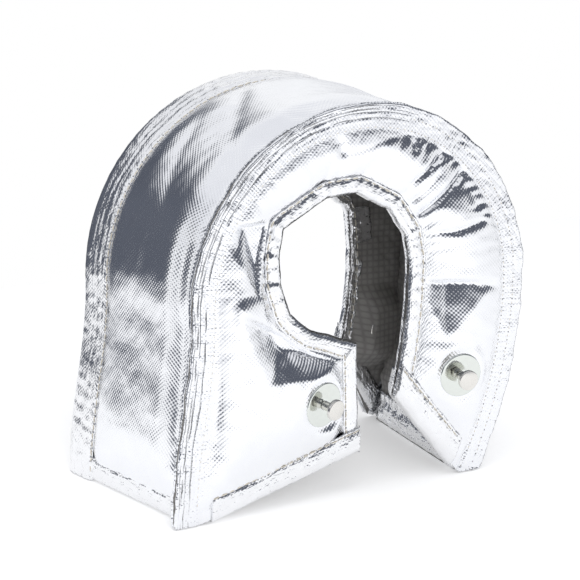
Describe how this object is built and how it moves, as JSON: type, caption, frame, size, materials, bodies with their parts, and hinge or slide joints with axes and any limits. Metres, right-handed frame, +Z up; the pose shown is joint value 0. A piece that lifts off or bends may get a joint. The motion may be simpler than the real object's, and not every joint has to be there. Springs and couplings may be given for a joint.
{
  "type": "turbo heat blanket",
  "caption": "Padded horseshoe heat blanket for a turbine housing: aluminised skins, insulation mat, woven liner, bound edges and steel lacing anchors.",
  "frame": {"origin": "bottom centre of the box, on the surface that the two feet stand on", "axes": "+X to the right seen from the front panel, which faces -Y; +Z up"},
  "size_m": [0.2336, 0.145, 0.2233],
  "materials": {
    "foil_skin": "aluminised woven cloth, glossy, creased",
    "foil_binding": "aluminised woven strip, folded and stitched",
    "insulation_mat": "felted fibre mat",
    "woven_liner": "dark woven fibre cloth, matt",
    "washer_steel": "polished",
    "anchor_steel": "satin"
  },
  "bodies": {
    "root": {"band_outer_skin": "foil_skin", "front_outer_skin": "foil_skin", "rear_outer_skin": "foil_skin", "band_left_foot_binding": "foil_binding", "band_right_foot_binding": "foil_binding", "rear_seam_binding": "foil_binding", "front_opening_binding": "foil_binding", "front_left_foot_binding": "foil_binding", "front_right_foot_binding": "foil_binding", "rear_opening_binding": "foil_binding", "rear_left_foot_binding": "foil_binding", "rear_right_foot_binding": "foil_binding", "band_insulation": "insulation_mat", "front_insulation": "insulation_mat", "rear_insulation": "insulation_mat", "band_liner": "woven_liner", "front_liner": "woven_liner", "rear_liner": "woven_liner", "front_seam_core": "woven_liner", "front_left_anchor_base": "anchor_steel", "front_left_anchor_washer": "washer_steel", "front_left_anchor_head": "anchor_steel", "front_right_anchor_base": "anchor_steel", "front_right_anchor_washer": "washer_steel", "front_right_anchor_head": "anchor_steel", "rear_left_anchor_base": "anchor_steel", "rear_left_anchor_washer": "washer_steel", "rear_left_anchor_head": "anchor_steel", "rear_right_anchor_base": "anchor_steel", "rear_right_anchor_washer": "washer_steel", "rear_right_anchor_head": "anchor_steel"}
  },
  "joints": []
}
